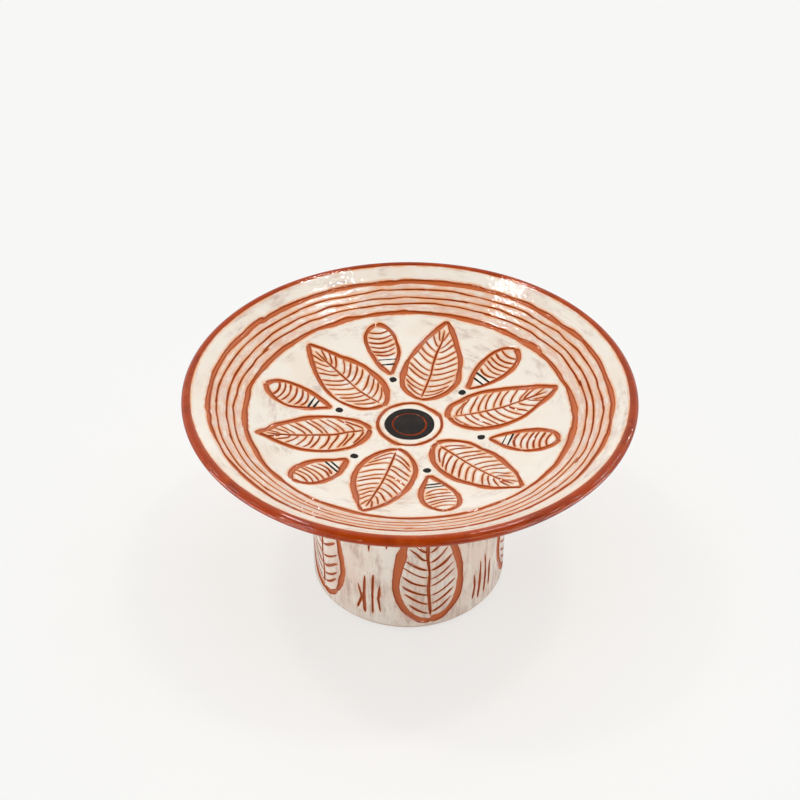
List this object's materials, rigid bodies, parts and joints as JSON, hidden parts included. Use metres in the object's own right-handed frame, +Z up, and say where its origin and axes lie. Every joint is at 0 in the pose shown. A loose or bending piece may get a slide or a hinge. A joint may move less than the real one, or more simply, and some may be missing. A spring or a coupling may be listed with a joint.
{
  "type": "footed bowl",
  "caption": "Wide shallow ceramic dish on a hollow drum foot, red clay under white slip and clear glaze, open below, for serving or display.",
  "frame": {"origin": "middle of the foot's base, on the surface that the bowl stands on", "axes": "+Z up along the axis that both the dish and the drum are turned about; X and Y are any two square directions round it, and the reference picture looks roughly along +Y from above"},
  "size_m": [0.26, 0.26, 0.138],
  "materials": {
    "glazed_terracotta": "red earthenware under clear gloss glaze",
    "bare_terracotta": "unglazed red earthenware, matt",
    "glazed_slip": "cream-white slip, brushed and carved through to the clay, under clear gloss glaze"
  },
  "bodies": {
    "root": {"dish": "glazed_terracotta", "dish_slip": "glazed_slip", "foot_drum": "bare_terracotta", "foot_slip": "glazed_slip", "luting_coil": "bare_terracotta"}
  },
  "joints": []
}
